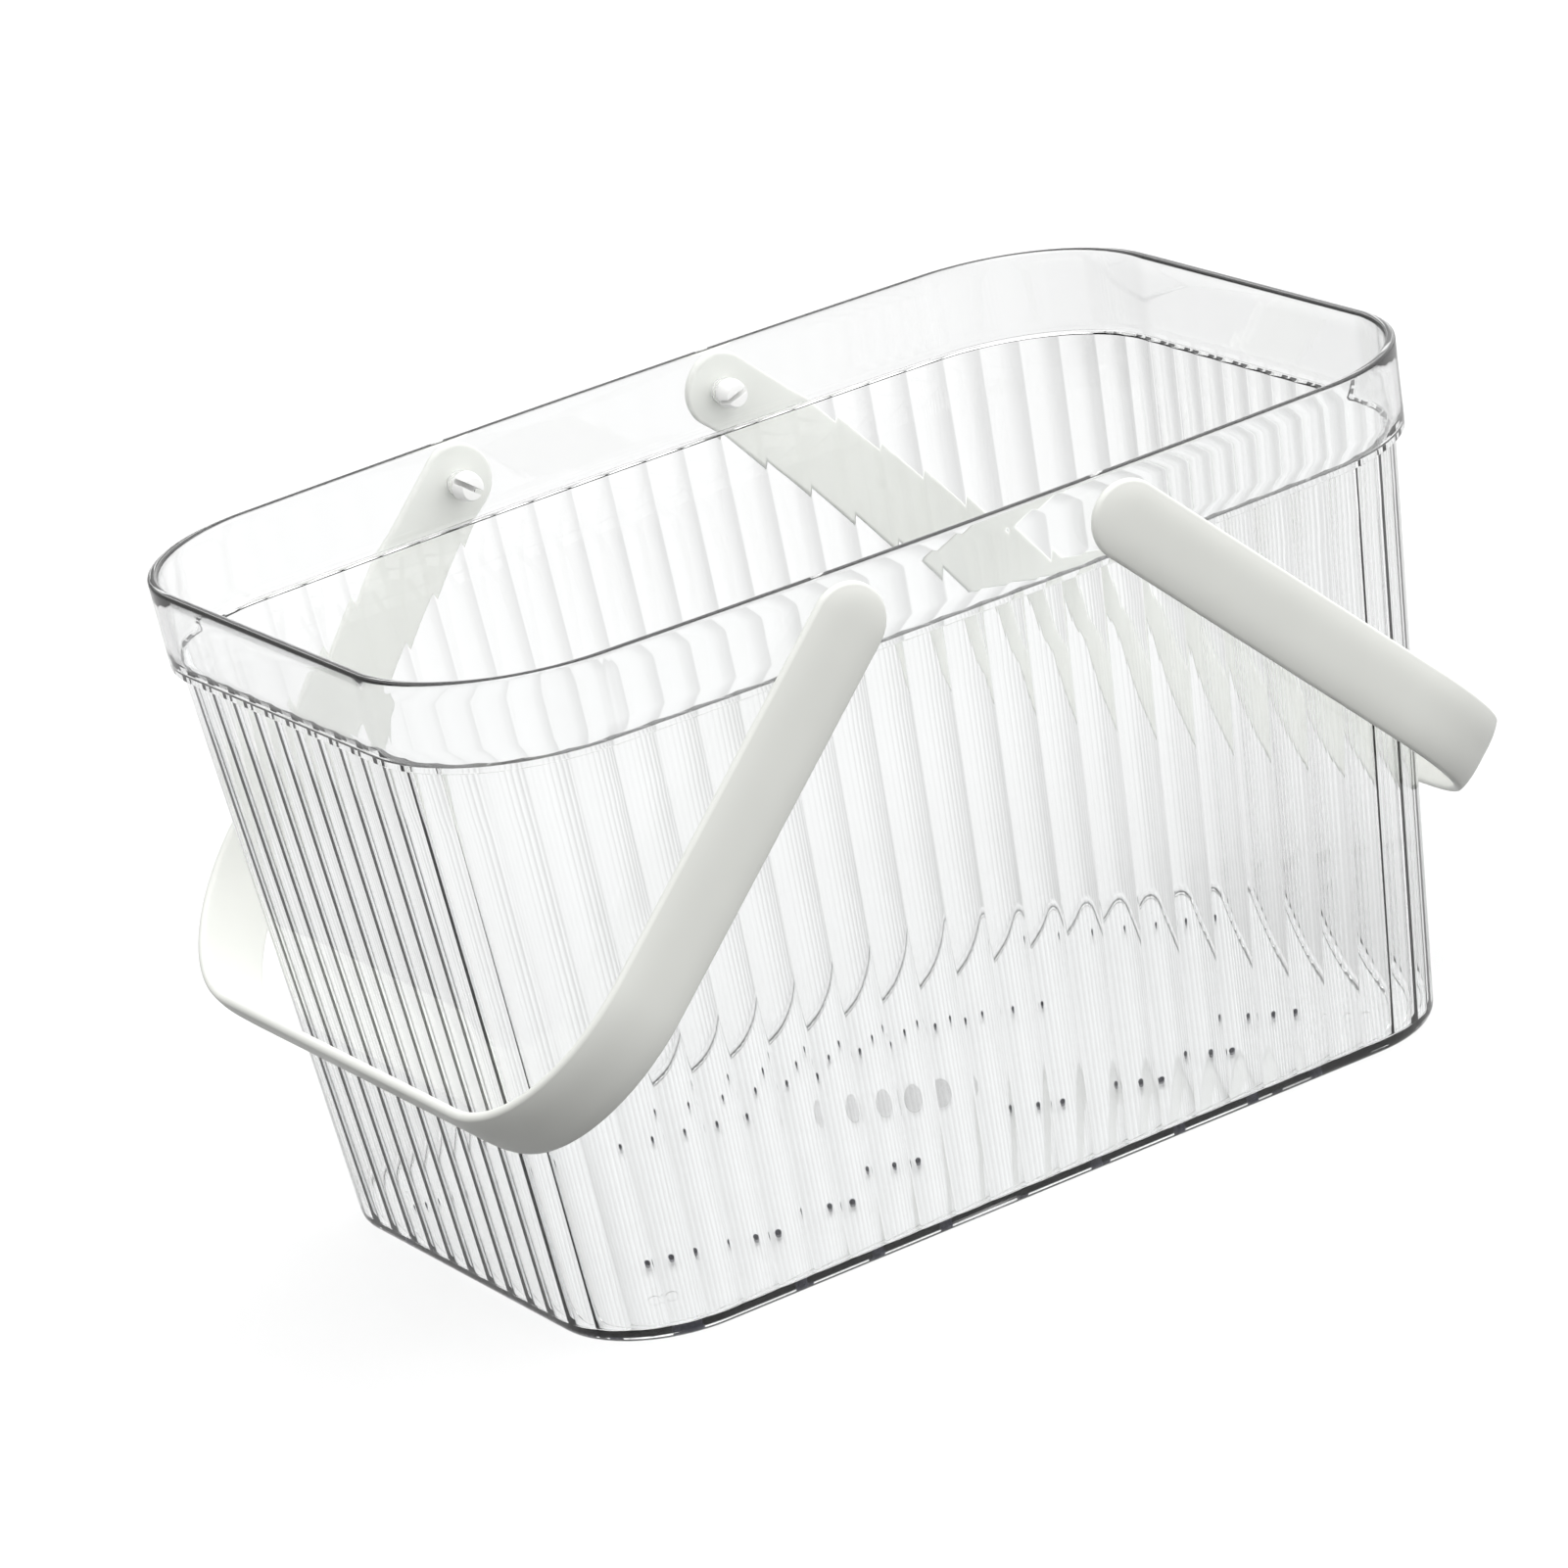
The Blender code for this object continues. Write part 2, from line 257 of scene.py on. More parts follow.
@dataclass(frozen=True)
class Skin:
    """How a moulded surface varies: sizes in metres, roughness from 0 to 1."""

    drift_size: float
    grain_size: float
    grain_share: float
    roughness: tuple[float, float]
    relief: float

    def place(self, material: bpy.types.Material, group: bpy.types.NodeTree) -> bpy.types.Node:
        """Feeds a material's Principled shader from the shared group.

        Args:
            material: The material, which has a Principled shader.
            group: The shared node group.

        Returns:
            The group's node.
        """
        nodes, links = material.node_tree.nodes, material.node_tree.links
        skin = nodes.new("ShaderNodeGroup")
        skin.node_tree = group
        skin.inputs["Drift Size"].default_value = self.drift_size
        skin.inputs["Grain Size"].default_value = self.grain_size
        skin.inputs["Grain Share"].default_value = self.grain_share
        skin.inputs["Roughness Low"].default_value = self.roughness[0]
        skin.inputs["Roughness High"].default_value = self.roughness[1]
        shader = nodes["Principled BSDF"]
        links.new(skin.outputs["Roughness"], shader.inputs["Roughness"])
        bump = nodes.new("ShaderNodeBump")
        bump.inputs["Strength"].default_value = 1.0
        bump.inputs["Distance"].default_value = self.relief
        links.new(skin.outputs["Height"], bump.inputs["Height"])
        links.new(bump.outputs["Normal"], shader.inputs["Normal"])
        return skin


@dataclass(frozen=True)
class ClearFinish:
    """Clear, polished plastic that lets light through to what stands behind it."""

    name: str
    skin: Skin
    colour: tuple[float, float, float] = (0.985, 0.99, 0.99)
    ior: float = 1.57
    shadow: tuple[float, float, float] = (0.995, 0.996, 0.997)

    def make(self, group: bpy.types.NodeTree) -> bpy.types.Material:
        """Makes the material; rays towards lamps pass through it nearly straight."""
        material = bpy.data.materials.new(self.name)
        material.use_nodes = True
        nodes, links = material.node_tree.nodes, material.node_tree.links
        shader = nodes["Principled BSDF"]
        shader.inputs["Base Color"].default_value = (*self.colour, 1.0)
        shader.inputs["IOR"].default_value = self.ior
        shader.inputs["Transmission Weight"].default_value = 1.0
        self.skin.place(material, group)
        through = nodes.new("ShaderNodeBsdfTransparent")
        through.inputs["Color"].default_value = (*self.shadow, 1.0)
        path = nodes.new("ShaderNodeLightPath")
        mix = nodes.new("ShaderNodeMixShader")
        links.new(path.outputs["Is Shadow Ray"], mix.inputs[0])
        links.new(shader.outputs["BSDF"], mix.inputs[1])
        links.new(through.outputs["BSDF"], mix.inputs[2])
        links.new(mix.outputs["Shader"], nodes["Material Output"].inputs["Surface"])
        return material


@dataclass(frozen=True)
class SolidFinish:
    """Opaque moulded plastic with a slow drift of tone."""

    name: str
    colour: tuple[float, float, float]
    deeper: tuple[float, float, float]
    skin: Skin
    ior: float = 1.5
    subsurface: float = 0.0

    def make(self, group: bpy.types.NodeTree) -> bpy.types.Material:
        """Makes the material, its colour drifting from colour to deeper."""
        material = bpy.data.materials.new(self.name)
        material.use_nodes = True
        nodes, links = material.node_tree.nodes, material.node_tree.links
        shader = nodes["Principled BSDF"]
        shader.inputs["IOR"].default_value = self.ior
        shader.inputs["Subsurface Weight"].default_value = self.subsurface
        shader.inputs["Subsurface Scale"].default_value = 0.001
        skin = self.skin.place(material, group)
        tone = nodes.new("ShaderNodeMix")
        tone.data_type = "RGBA"
        tone.inputs["A"].default_value = (*self.colour, 1.0)
        tone.inputs["B"].default_value = (*self.deeper, 1.0)
        links.new(skin.outputs["Tone"], tone.inputs["Factor"])
        links.new(tone.outputs["Result"], shader.inputs["Base Color"])
        return material


CLEAR_FINISH = ClearFinish(
    name="clear_plastic",
    skin=Skin(0.035, 0.004, 0.1, (0.010, 0.025), 0.00002),
)
FROSTED_FINISH = ClearFinish(
    name="clear_plastic_frosted",
    colour=(0.42, 0.42, 0.42),
    skin=Skin(0.004, 0.0008, 0.6, (0.35, 0.55), 0.00015),
)
# Painted shade: near-black walls for the drain holes, standing in for the dark that gathers inside them.
HOLE_SHADE_FINISH = SolidFinish(
    name="clear_plastic_bored",
    colour=(0.012, 0.012, 0.022),
    deeper=(0.03, 0.03, 0.045),
    skin=Skin(0.002, 0.0004, 0.5, (0.30, 0.45), 0.00002),
    ior=1.2,
)
STRAP_FINISH = SolidFinish(
    name="strap_plastic",
    colour=(0.80, 0.81, 0.77),
    deeper=(0.78, 0.79, 0.75),
    skin=Skin(0.02, 0.0005, 0.5, (0.36, 0.46), 0.000012),
)
PIN_FINISH = SolidFinish(
    name="pin_plastic",
    colour=(0.88, 0.88, 0.87),
    deeper=(0.86, 0.86, 0.85),
    skin=Skin(0.004, 0.0004, 0.5, (0.26, 0.34), 0.000008),
)


# ---------------------------------------------------------------- basket


@dataclass(frozen=True)
class Outline:
    """A rounded rectangle whose long sides bow out by the crown."""

    half_length: float
    half_width: float
    radius: float
    crown: float

    def inset(self, by: float) -> Outline:
        """Gives the outline drawn in by a distance."""
        return Outline(self.half_length - by, self.half_width - by, self.radius - by, self.crown)

    def blend(self, other: Outline, share: float) -> Outline:
        """Gives the outline part of the way from this one to another."""
        return Outline(
            self.half_length + (other.half_length - self.half_length) * share,
            self.half_width + (other.half_width - self.half_width) * share,
            self.radius + (other.radius - self.radius) * share,
            self.crown + (other.crown - self.crown) * share,
        )

    def points(self, turn: Array) -> tuple[Array, Array]:
        """Walks round the outline, evenly by length, from the middle of the front side.

        A quarter is half the long side, a corner's quarter circle and half the short side.
        Where the walk is on the long side, y bows by crown * (1 - (x / straight) ** 2).

        Args:
            turn: Shares of the whole way round, from 0 to 1.

        Returns:
            The points and the outward normals, as rows of x and y.
        """
        straight = self.half_length - self.radius
        side = self.half_width - self.crown
        arc = self.radius * math.pi / 2
        quarter = straight + arc + side - self.radius
        quarters = turn * 4
        quadrant = np.minimum(quarters.astype(int), 3)
        along = (quarters - quadrant) * quarter
        along = np.where(quadrant % 2 == 0, along, quarter - along)
        angle = np.clip((along - straight) / self.radius, 0, math.pi / 2)
        x = np.minimum(along, straight) + self.radius * np.sin(angle)
        y = side - self.radius * (1 - np.cos(angle)) - np.maximum(along - straight - arc, 0)
        bow = np.clip(x / straight, 0, 1)
        y = y + self.crown * (1 - bow**2)
        slope = np.where(bow < 1, 2 * self.crown * bow / straight, 0)
        normal = np.stack([np.sin(angle) + slope, np.cos(angle)], axis=1)
        normal /= np.linalg.norm(normal, axis=1)[:, None]
        signs = np.array([(1, -1), (1, 1), (-1, 1), (-1, -1)])[quadrant]
        return np.stack([x, y], axis=1) * signs, normal * signs


@dataclass
class Basket:
    """The clear basket: tapered wall, inner flutes, rim band, ledge and drained floor."""

    rim_length: float
    rim_width: float
    height: float
    pivot_x: float
    pivot_z: float
    rim_radius: float = 0.0433
    side_crown: float = 0.0020
    base_length: float = 0.244
    base_width: float = 0.1534
    base_radius: float = 0.029
    band_height: float = 0.0222
    band_draft: float = 0.0011
    band_step: float = 0.0024
    band_wall: float = 0.0026
    rim_rounding: float = 0.0009
    ledge_rise: float = 0.0012
    ledge_edge: float = 0.0002
    corner_edge: float = 0.00012
    band_corner: float = 0.0004
    wall: float = 0.0025
    flutes: int = 76
    flute_depth: float = 0.00062
    flute_steps: tuple[float, ...] = (0.0, 0.035, 0.1, 0.2, 0.35, 0.5, 0.65, 0.8, 0.9, 0.965)
    foot_fillet: float = 0.0028
    foot_width: float = 0.0060
    foot_recess: float = 0.0008
    floor: float = 0.0025
    floor_fillet: float = 0.0007
    drain_radius: float = 0.0016
    drain_bevel: float = 0.0002
    drain_pitch: float = 0.0216
    front_arc_radius: float = 0.060
    front_arc_inset: float = 0.0288
    rear_arc_radius: float = 0.085
    rear_arc_inset: float = 0.0335
    lone_drain_inset: float = 0.0198
    lone_drain_setback: float = 0.0304
    pin_hole_radius: float = 0.0035
    gate_radius: float = 0.0095
    gate_depth: float = 0.0004
    ejector_radius: float = 0.0028
    ejector_depth: float = 0.00015
    ejector_place: tuple[float, float] = (0.0985, 0.0545)
    foot_edge: float = 0.0003
    crease: float = 32.0
    rim: Outline = field(init=False)
    band_foot: Outline = field(init=False)
    shoulder: Outline = field(init=False)
    base: Outline = field(init=False)

    def __post_init__(self) -> None:
        """Works out the four outlines that the walls run between."""
        self.rim = Outline(self.rim_length / 2, self.rim_width / 2, self.rim_radius, self.side_crown)
        self.band_foot = self.rim.inset(self.band_draft)
        self.shoulder = self.band_foot.inset(self.band_step)
        self.base = Outline(self.base_length / 2, self.base_width / 2, self.base_radius, 0.0)

    @property
    def band_z(self) -> float:
        """Height of the band's lower edge."""
        return self.height - self.band_height

    @property
    def ledge_z(self) -> float:
        """Height of the inner ledge."""
        return self.band_z + self.ledge_rise

    @property
    def floor_z(self) -> float:
        """Height of the floor's upper face."""
        return self.foot_recess + self.floor

    def wall_at(self, z: float) -> Outline:
        """Gives the wall's outer outline at a height."""
        return self.base.blend(self.shoulder, z / self.band_z)

    def band_at(self, z: float) -> Outline:
        """Gives the band's outer outline at a height."""
        return self.band_foot.blend(self.rim, (z - self.band_z) / self.band_height)

    def turns(self) -> tuple[Array, Array]:
        """Gives where the points stand round the basket, and the flutes' scoop there.

        A scoop is a parabola, 0 on the ridges and the flute's depth halfway between them.

        Returns:
            Shares of the way round, and depths in metres.
        """
        phase = np.array(self.flute_steps)
        turn = (np.arange(self.flutes)[:, None] + phase[None, :]).ravel() / self.flutes
        scoop = self.flute_depth * (1 - (2 * phase - 1) ** 2)
        return turn, np.tile(scoop, self.flutes)

    def stations(self) -> list[tuple[Outline, float, float, float]]:
        """Lists the rings from the underside, up the outside, over the rim and down the inside.

        Returns:
            For each ring its outline, height, inset and share of the flutes' scoop.
        """
        edge = self.foot_edge
        rings: list[tuple[Outline, float, float, float]] = [
            (self.base, self.foot_recess, self.foot_width + 3 * edge, 0.0),
            (self.base, self.foot_recess, self.foot_width + edge, 0.0),
            (self.base, self.foot_recess - edge, self.foot_width, 0.0),
            (self.base, edge / 2, self.foot_width, 0.0),
            (self.base, 0.0, self.foot_width - edge, 0.0),
        ]
        for a in np.linspace(0, math.pi / 2, 8):
            z = self.foot_fillet * (1 - math.cos(a))
            rings.append((self.wall_at(z), z, self.foot_fillet * (1 - math.sin(a)), 0.0))
        turn = self.corner_edge
        for z in np.linspace(self.foot_fillet, self.band_z - turn, 10)[1:]:
            rings.append((self.wall_at(z), z, 0.0, 0.0))
        rings += [
            (self.shoulder, self.band_z - turn * 0.3, -turn * 0.3, 0.0),
            (self.shoulder, self.band_z, -turn, 0.0),
        ]
        corner = self.band_corner
        for a in np.linspace(0, math.pi / 2, 6):
            z = self.band_z + corner * (1 - math.cos(a))
            rings.append((self.band_at(z), z, corner * (1 - math.sin(a)), 0.0))
        top, lip = self.height, self.rim_rounding
        for z in np.linspace(self.band_z + corner, top - lip, 6)[1:-1]:
            rings.append((self.band_at(z), z, 0.0, 0.0))
        angles = np.linspace(0, math.pi / 2, 6)
        for a in angles:
            z = top - lip * (1 - math.sin(a))
            rings.append((self.band_at(z), z, lip * (1 - math.cos(a)), 0.0))
        for a in angles[::-1]:
            z = top - lip * (1 - math.sin(a))
            rings.append((self.band_at(z), z, self.band_wall - lip * (1 - math.cos(a)), 0.0))
        inner, turn = self.wall, self.ledge_edge
        for z in np.linspace(top - lip, self.ledge_z + turn, 6)[1:]:
            rings.append((self.band_at(z), z, self.band_wall, 0.0))
        corner = self.band_at(self.ledge_z)
        rings += [
            (corner, self.ledge_z + turn * 0.3, self.band_wall + turn * 0.3, 0.0),
            (corner, self.ledge_z, self.band_wall + turn, 0.0),
        ]
        rings += [
            (self.shoulder, self.ledge_z, inner - turn, 1.0),
            (self.shoulder, self.ledge_z - turn * 0.3, inner - turn * 0.3, 1.0),
            (self.shoulder, self.ledge_z - turn, inner, 1.0),
        ]
        low = self.floor_z + self.floor_fillet
        for z in np.linspace(self.ledge_z - turn, low, 12)[1:]:
            rings.append((self.wall_at(z), z, inner, 1.0))
        for a in np.linspace(0, math.pi / 2, 6)[1:]:
            z = low - self.floor_fillet * math.sin(a)
            rings.append((self.wall_at(z), z, inner + self.floor_fillet * (1 - math.cos(a)), 1.0))
        rings.append((self.wall_at(self.floor_z), self.floor_z, inner + self.floor_fillet + edge, 1.0))
        return rings

    def surface(self) -> Array:
        """Puts each ring's points in place: outline minus normal times the ring's inset.

        Returns:
            Rings of points.
        """
        turn, scoop = self.turns()
        rows = []
        for outline, z, inset, share in self.stations():
            points, normals = outline.points(turn)
            flat = points - normals * (inset - scoop * share)[:, None]
            rows.append(np.column_stack([flat, np.full(len(flat), z)]))
        return np.stack(rows)

    def drains(self) -> Array:
        """Places the drain holes: two front arcs of four, a rear arc of five and two lone ones.

        On an arc a hole at a distance d from its crest falls back by r - sqrt(r^2 - d^2).

        Returns:
            Rows of x and y.
        """
        end, side = self.base_length / 2 - self.wall, self.base_width / 2 - self.wall
        four = np.array([-1.5, -0.5, 0.5, 1.5]) * self.drain_pitch
        five = np.array([-2, -1, 0, 1, 2]) * self.drain_pitch
        fall_four = self.front_arc_radius - np.sqrt(self.front_arc_radius**2 - four**2)
        fall_five = self.rear_arc_radius - np.sqrt(self.rear_arc_radius**2 - five**2)
        y_four = self.front_arc_inset - side + fall_four
        rear = np.column_stack([five, side - self.rear_arc_inset - fall_five])
        fronts = [np.column_stack([s * 2.5 * self.drain_pitch + four, y_four]) for s in (-1, 1)]
        lone_x = (end - self.lone_drain_inset) * np.array([-1, 1])
        lone = np.column_stack([lone_x, np.full(2, side - self.lone_drain_setback)])
        return np.vstack([*fronts, rear, lone])

    def cutters(self) -> list[Array]:
        """Shapes the drain holes, pin holes, gate recess and ejector marks as cutters."""
        up = Vector((0, 0, 1))
        r, top, bevel = self.drain_radius, self.floor_z, self.drain_bevel
        drain = np.array([
            (-OVERCUT, r), (top - bevel, r), (top + bevel, r + 2 * bevel), (top + OVERCUT, r + 2 * bevel),
        ])
        shapes = [turned(drain, 28, Vector((x, y, 0)), up) for x, y in self.drains()]
        across = Vector((0, 1, 0))
        reach = self.rim_width / 2
        inside, outside = reach - self.band_wall - 2 * OVERCUT, reach + OVERCUT
        hole = np.array([(inside, self.pin_hole_radius), (outside, self.pin_hole_radius)])
        for x in (-self.pivot_x, self.pivot_x):
            start = Vector((x, 0, self.pivot_z))
            for row in Row:
                shapes.append(turned(hole, 48, start, across * row.value))
        gate = np.array([
            (-OVERCUT, self.gate_radius), (self.foot_recess, self.gate_radius),
            (self.foot_recess + self.gate_depth, self.gate_radius - self.gate_depth),
        ])
        shapes.append(turned(gate, 64, Vector((0, 0, 0)), up))
        depth = self.foot_recess + self.ejector_depth
        ejector = np.array([(-OVERCUT, self.ejector_radius), (depth, self.ejector_radius)])
        for x in (-self.ejector_place[0], self.ejector_place[0]):
            for y in (-self.ejector_place[1], self.ejector_place[1]):
                shapes.append(turned(ejector, 32, Vector((x, y, 0)), up))
        return shapes

    def dress_marks(
        self, piece: bpy.types.Object, frosted: bpy.types.Material, hole_shade: bpy.types.Material
    ) -> None:
        """Dresses the gate recess, and paints shade on the walls of the drain holes.

        Args:
            piece: The cut basket.
            frosted: The finish inside the gate recess.
            hole_shade: The near-black finish of the drain holes' walls, painted shade that stands in for
                the dark inside the holes.
        """
        faces = piece.data.polygons
        centres = np.empty(len(faces) * 3, dtype=np.float32)
        faces.foreach_get("center", centres)
        x, y, z = centres.reshape(-1, 3).T
        above = z > self.foot_recess + SLIVER
        shallow = z < self.foot_recess + self.gate_depth + SLIVER
        gate = (np.hypot(x, y) < self.gate_radius) & above & shallow
        off = np.stack([x, y], axis=1)[:, None, :] - self.drains()[None, :, :]
        near = np.linalg.norm(off, axis=2).min(axis=1) < self.drain_radius + 3 * self.drain_bevel
        # The drain holes' walls take the near-black painted shade.
        wall = near & above & (z < self.floor_z - SLIVER)
        piece.data.materials.append(frosted)
        piece.data.materials.append(hole_shade)
        faces.foreach_set("material_index", (gate + 2 * wall).astype(np.int32))

    def build(
        self, clear: bpy.types.Material, frosted: bpy.types.Material, hole_shade: bpy.types.Material
    ) -> bpy.types.Object:
        """Builds the basket as one piece and dresses it in its three finishes, one of them painted shade in
        the drain holes.
        """
        piece = new_object("clear_basket", grid_mesh("clear_basket", self.surface(), caps=True))
        cut_away(piece, self.cutters())
        shade(piece, self.crease, clear)
        self.dress_marks(piece, frosted, hole_shade)
        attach(piece, "basket")
        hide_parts("basket")
        faces = len(piece.data.polygons)
        LOG.info("basket: %d faces, %d flutes, %d drains", faces, self.flutes, len(self.drains()))
        return piece


# ---------------------------------------------------------------- handles and pins


@dataclass
class StrapHandle:
    """A U-shaped strap whose two arms lie outside the long sides and turn on the pins."""

    side: Side
    pivot_x: float
    pivot_z: float
    reach: float
    drop: float
    outer_y: float
    width: float = 0.0196
    thickness: float = 0.0034
    crown: float = 0.0012
    crown_power: float = 3.2
    edge: float = 0.0009
    elbow_along: float = 0.0448
    elbow_across: float = 0.0388
    socket_depth: float = 0.0020
    socket_radius: float = 0.00325
    crease: float = 40.0

    def section(self) -> Array:
        """Draws the strap's section: a crowned outer face, round edges and a flat inner face.

        The outer face falls by crown * |place / half width| ** crown_power.

        Returns:
            A closed loop, as rows of the place across the strap and the depth below its
            outer face, running over the outer face, down one edge and back along the inside.
        """
        half, t, r = self.width / 2, self.thickness, self.edge
        face = np.linspace(-1, 1, 25) * (half - r)
        outer = np.column_stack([face, self.crown * np.abs(face / half) ** self.crown_power])
        start = self.crown * ((half - r) / half) ** self.crown_power
        angle = np.linspace(0, math.pi, 11)[1:]
        middle = (start + t) / 2
        rise = (t - start) / 2
        edge = np.column_stack([half - r + r * np.sin(angle), middle - rise * np.cos(angle)])
        inner = np.column_stack([face[::-1][1:], np.full(len(face) - 1, t)])
        back = np.column_stack([-edge[::-1][1:-1, 0], edge[::-1][1:-1, 1]])
        return np.vstack([outer, edge, inner, back])

    def line(self) -> tuple[Array, Array, Array]:
        """Draws the outer line from the front arm's pivot round both elbows to the rear's.

        An elbow is a quarter ellipse: reach = R - a * (1 - sin u), y = Y - b * (1 - cos u).

        Returns:
            The reach from the pivot axis, y, and the outward normals as rows of reach and y.
        """
        arm = np.linspace(0, self.reach - self.elbow_along, 26)[:-1]
        u = np.linspace(0, math.pi / 2, 41)
        elbow_reach = self.reach - self.elbow_along * (1 - np.sin(u))
        elbow_y = -self.outer_y + self.elbow_across * (1 - np.cos(u))
        grip = np.linspace(elbow_y[-1], 0, 10)[1:]
        reach = np.concatenate([arm, elbow_reach, np.full(len(grip), self.reach)])
        y = np.concatenate([np.full(len(arm), -self.outer_y), elbow_y, grip])
        bend = np.column_stack([np.sin(u) / self.elbow_along, -np.cos(u) / self.elbow_across])
        bend /= np.linalg.norm(bend, axis=1)[:, None]
        normal = np.vstack([np.tile((0.0, -1.0), (len(arm), 1)), bend, np.tile((1.0, 0.0), (len(grip), 1))])
        mirror = normal[-2::-1] * (1, -1)
        return np.append(reach, reach[-2::-1]), np.append(y, -y[-2::-1]), np.vstack([normal, mirror])

    def surface(self) -> Array:
        """Carries the section along the line, and turns it shut round each pivot.

        On the line a point is line - depth * normal, off to the side by its place across.
        At an arm's end the place across, c, swings round the pivot: it goes to
        reach -|c| * sin a and to c * cos a, for a from a right angle down to 0.

        Returns:
            Rings of points in the handle's own axes: reach, y and across.
        """
        across, depth = self.section().T
        reach, y, normal = self.line()
        along = reach[:, None] - depth * normal[:, :1]
        sides = y[:, None] - depth * normal[:, 1:]
        body = np.stack([along, sides, np.broadcast_to(across, along.shape)], axis=-1)
        angle = np.linspace(math.pi / 2, 0, 13)[:-1, None]
        end = np.stack(
            [
                -np.abs(across) * np.sin(angle),
                np.broadcast_to(depth - self.outer_y, (len(angle), len(depth))),
                across * np.cos(angle),
            ],
            axis=-1,
        )
        return np.concatenate([end, body, end[::-1] * (1, -1, 1)])

    def placed(self, rings: Array) -> Array:
        """Turns points from the handle's own axes into the caddy's, at rest."""
        outward = self.side.value
        reach, y, across = rings[..., 0], rings[..., 1], rings[..., 2]
        x = outward * (self.pivot_x + reach * math.cos(self.drop) + across * math.sin(self.drop))
        z = self.pivot_z - reach * math.sin(self.drop) + across * math.cos(self.drop)
        return np.stack([x, y, z], axis=-1)

    def sockets(self) -> list[Array]:
        """Shapes the two blind sockets that the pins are fixed in."""
        inner = self.outer_y - self.thickness
        bore = np.array([
            (inner - OVERCUT, self.socket_radius), (inner + self.socket_depth, self.socket_radius),
        ])
        start = Vector((self.side.value * self.pivot_x, 0, self.pivot_z))
        return [turned(bore, 40, start, Vector((0, row.value, 0))) for row in Row]

    def build(self, material: bpy.types.Material) -> bpy.types.Object:
        """Builds the handle as one piece and dresses it."""
        label = self.side.name.lower()
        mesh = grid_mesh(f"strap_handle_{label}", self.placed(self.surface()), caps=False)
        piece = new_object(f"strap_handle_{label}", mesh)
        cut_away(piece, self.sockets())
        shade(piece, self.crease, material)
        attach(piece, f"handle_{label}")
        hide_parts(f"handle_{label}")
        LOG.info("%s handle: %d faces", label, len(piece.data.polygons))
        return piece


@dataclass
class SnapPin:
    """A split snap pin: shank, barbed head and a slot that lets the head spring through."""

    side: Side
    row: Row
    pivot_x: float
    pivot_z: float
    seat: float
    root: float
    drop: float
    turn: float
    radius: float = 0.0032
    head_radius: float = 0.0038
    barb: float = 0.0010
    nose: float = 0.0034
    nose_radius: float = 0.0030
    slot_width: float = 0.0013
    slot_depth: float = 0.0048
    soft_edge: float = 0.00025
    crease: float = 35.0

    @property
    def tip(self) -> float:
        """Distance of the nose's tip from the middle of the basket."""
        return self.seat - self.barb - self.nose

    def profile(self) -> Array:
        """Draws the half section from the root in the arm to the tip inside the basket.

        Returns:
            Rows of the distance from the middle of the basket and the radius.
        """
        soft = self.soft_edge
        taper = np.linspace(0, 1, 9)[1:]
        swell = self.head_radius - (self.head_radius - self.nose_radius) * taper**1.6
        nose = np.column_stack([self.seat - self.barb - (self.nose - soft) * taper, swell])
        angle = np.linspace(0, math.pi / 2, 5)[1:]
        tip_round = np.column_stack([
            self.tip + soft * (1 - np.sin(angle)), self.nose_radius - soft * (1 - np.cos(angle)),
        ])
        shank = np.array([
            (self.root, self.radius - soft), (self.root - soft, self.radius),
            (self.seat + soft, self.radius), (self.seat, self.radius + soft),
            (self.seat, self.head_radius - soft), (self.seat - soft, self.head_radius),
            (self.seat - self.barb, self.head_radius),
        ])
        return np.vstack([shank, nose, tip_round])

    def slot(self) -> Array:
        """Shapes the slot: a flat cutter with a round bottom, turned about the pin's axis."""
        half = self.slot_width / 2
        angle = np.linspace(0, math.pi, 9)
        bottom = self.tip + self.slot_depth - half
        open_end = self.tip - OVERCUT
        loop = np.vstack([
            [(-half, open_end), (-half, bottom)],
            np.column_stack([-half * np.cos(angle[1:-1]), bottom + half * np.sin(angle[1:-1])]),
            [(half, bottom), (half, open_end)],
        ])
        reach = self.head_radius + OVERCUT
        swing = self.drop if self.side is Side.RIGHT else math.pi - self.drop
        lean = swing + self.turn
        u = np.array([math.cos(lean), 0, -math.sin(lean)])
        v = np.array([math.sin(lean), 0, math.cos(lean)])
        centre = np.array([self.side.value * self.pivot_x, 0, self.pivot_z])
        away = np.array([0, self.row.value, 0])
        face = centre + loop[:, :1] * u + loop[:, 1:] * away
        return np.stack([face - reach * v, face + reach * v])

    def build(self, material: bpy.types.Material) -> bpy.types.Object:
        """Builds the pin as one piece and dresses it."""
        side, row = self.side.name.lower(), self.row.name.lower()
        name = f"split_pin_{side}_{row}"
        start = Vector((self.side.value * self.pivot_x, 0, self.pivot_z))
        rings = turned(self.profile(), 56, start, Vector((0, self.row.value, 0)))
        piece = new_object(name, grid_mesh(name, rings, caps=True))
        cut_away(piece, [self.slot()])
        shade(piece, self.crease, material)
        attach(piece, f"handle_{side}")
        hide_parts(f"snap_pin_{side}_{row}")
        LOG.info("%s %s pin: %d faces", side, row, len(piece.data.polygons))
        return piece


# ---------------------------------------------------------------- studio


@dataclass(frozen=True)
class Glow:
    """A bright stretch of the room's walls or ceiling, which fades in along one direction.

    It starts where the direction's share along the axis reaches begin and is full at end;
    an end below its begin makes it fade in towards the negative side.
    """

    axis: str
    begin: float
    end: float
    power: float


